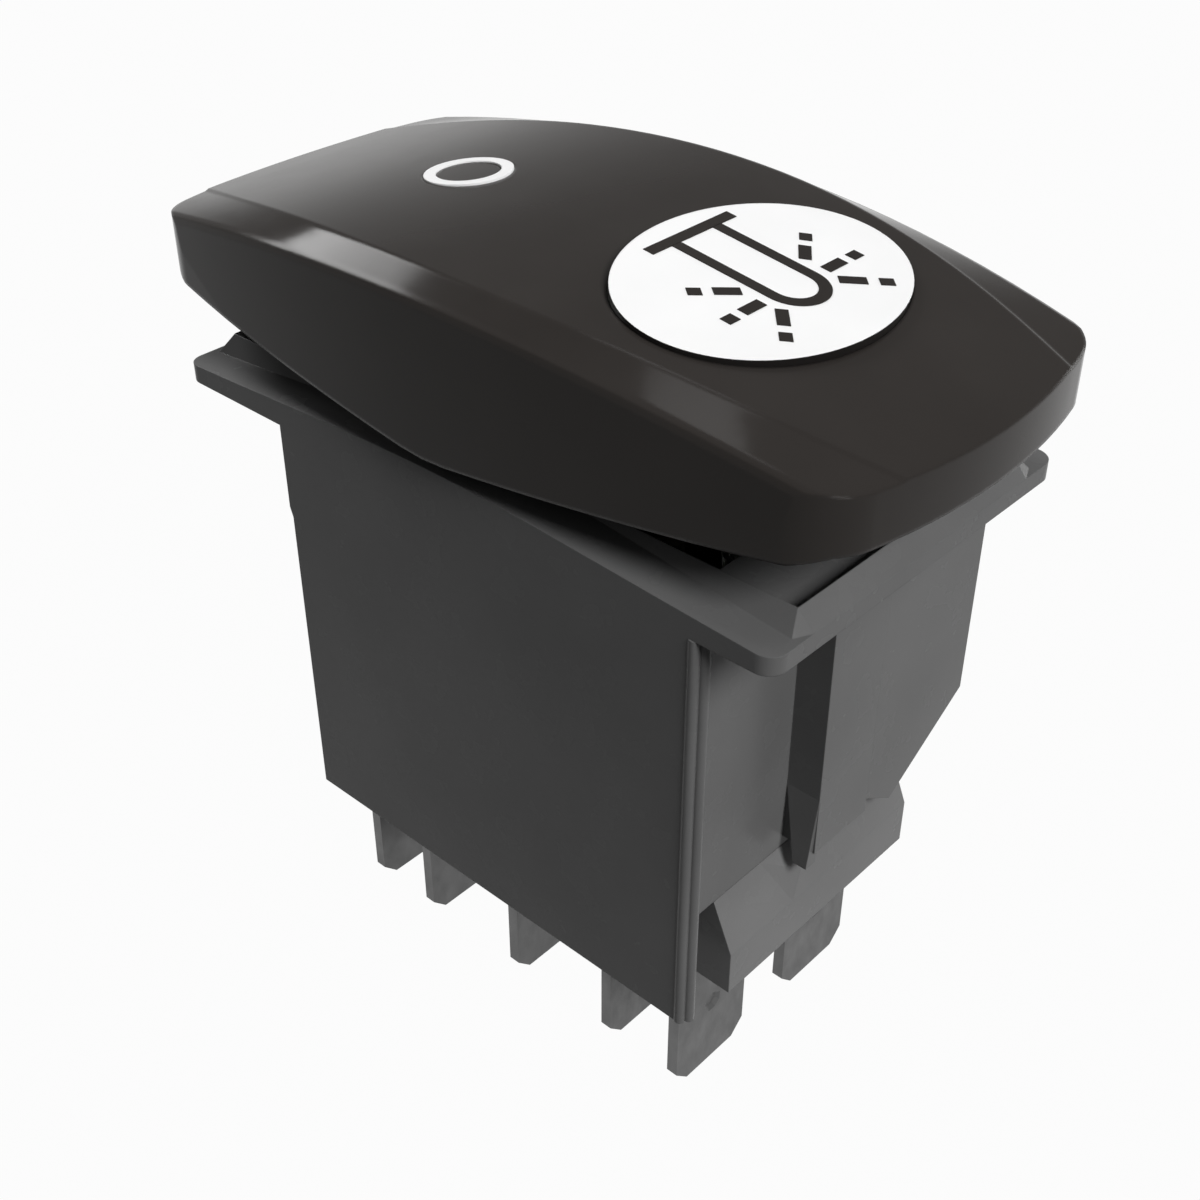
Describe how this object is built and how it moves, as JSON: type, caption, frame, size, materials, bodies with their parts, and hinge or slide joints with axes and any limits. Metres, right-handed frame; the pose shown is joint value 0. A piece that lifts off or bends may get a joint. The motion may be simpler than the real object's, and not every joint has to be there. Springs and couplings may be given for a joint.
{
  "type": "panel rocker switch",
  "caption": "Snap-in panel rocker switch with a bowed illuminated rocker, bezel housing, see-saw contacts and flat blade terminals underneath.",
  "frame": {"origin": "middle of the bezel's underside, in the plane that seats on the panel", "axes": "+X along the rocker towards its lens end, +Y across towards the side with the end plates, +Z out of the panel"},
  "size_m": [0.0496, 0.0256, 0.05],
  "materials": {
    "housing_plastic": "satin moulded nylon, fine spark texture",
    "base_plastic": "satin moulded nylon",
    "rocker_plastic": "smooth moulded, semi-gloss",
    "carrier_plastic": "satin moulded",
    "lens_plastic": "translucent white, smooth",
    "mark_plastic": "white inlay, smooth",
    "plunger_plastic": "natural acetal",
    "spring_steel": "drawn stainless wire",
    "pin_steel": "ground steel",
    "contact_silver": "silver alloy, polished",
    "contact_brass": "bare copper alloy strip",
    "terminal_tin": "tin-plated copper alloy, dull",
    "lead_tin": "tinned wire",
    "lamp_lens": "water-clear epoxy"
  },
  "bodies": {
    "housing": {"fixed_contact_left_front": "contact_silver", "fixed_contact_left_rear": "contact_silver", "fixed_contact_right_front": "contact_silver", "fixed_contact_right_rear": "contact_silver", "housing": "housing_plastic", "lamp_lead_left_front": "lead_tin", "lamp_lead_left_rear": "lead_tin", "lamp_lead_right_front": "lead_tin", "lamp_lead_right_rear": "lead_tin", "lamp_left": "lamp_lens", "lamp_right": "lamp_lens", "pivot_pin_front": "pin_steel", "pivot_pin_rear": "pin_steel", "terminal_base": "base_plastic", "terminal_common_front": "terminal_tin", "terminal_common_rear": "terminal_tin", "terminal_lamp_left_front": "terminal_tin", "terminal_lamp_left_rear": "terminal_tin", "terminal_lamp_right_front": "terminal_tin", "terminal_lamp_right_rear": "terminal_tin", "terminal_left_front": "terminal_tin", "terminal_left_rear": "terminal_tin", "terminal_right_front": "terminal_tin", "terminal_right_rear": "terminal_tin"},
    "rocker": {"lens": "lens_plastic", "ring_mark": "mark_plastic", "rocker_cap": "rocker_plastic", "rocker_carrier": "carrier_plastic", "plunger_spring_front": "spring_steel", "plunger_spring_rear": "spring_steel"},
    "see_saw_front": {"contact_blade_front": "contact_brass", "moving_contact_left_front": "contact_silver", "moving_contact_right_front": "contact_silver"},
    "plunger_front": {"plunger_front": "plunger_plastic"},
    "see_saw_rear": {"contact_blade_rear": "contact_brass", "moving_contact_left_rear": "contact_silver", "moving_contact_right_rear": "contact_silver"},
    "plunger_rear": {"plunger_rear": "plunger_plastic"}
  },
  "joints": [
    {"name": "rocker_tilt", "type": "hinge", "parent": "housing", "child": "rocker", "pos_m": [0.00013, 0, -0.0025], "axis": [0, 1, 0], "range_deg": [-7, 7]},
    {"name": "see_saw_tilt_front", "type": "hinge", "parent": "housing", "child": "see_saw_front", "pos_m": [0.00013, -0.0052, -0.01515], "axis": [0, 1, 0], "range_deg": [-8.5, 8.5]},
    {"name": "see_saw_tilt_rear", "type": "hinge", "parent": "housing", "child": "see_saw_rear", "pos_m": [0.00013, 0.0052, -0.01515], "axis": [0, 1, 0], "range_deg": [-8.5, 8.5]},
    {"name": "plunger_slide_front", "type": "slide", "parent": "rocker", "child": "plunger_front", "axis": [0, 0, 1], "range_m": [0, 0.0008], "stiffness_N_per_m": 400, "deforming": ["plunger_spring_front"]},
    {"name": "plunger_slide_rear", "type": "slide", "parent": "rocker", "child": "plunger_rear", "axis": [0, 0, 1], "range_m": [0, 0.0008], "stiffness_N_per_m": 400, "deforming": ["plunger_spring_rear"]}
  ],
  "couplings": [
    {"joint": "see_saw_tilt_front", "follows": "rocker_tilt", "ratio": -1.1429},
    {"joint": "see_saw_tilt_rear", "follows": "rocker_tilt", "ratio": -1.1429}
  ]
}
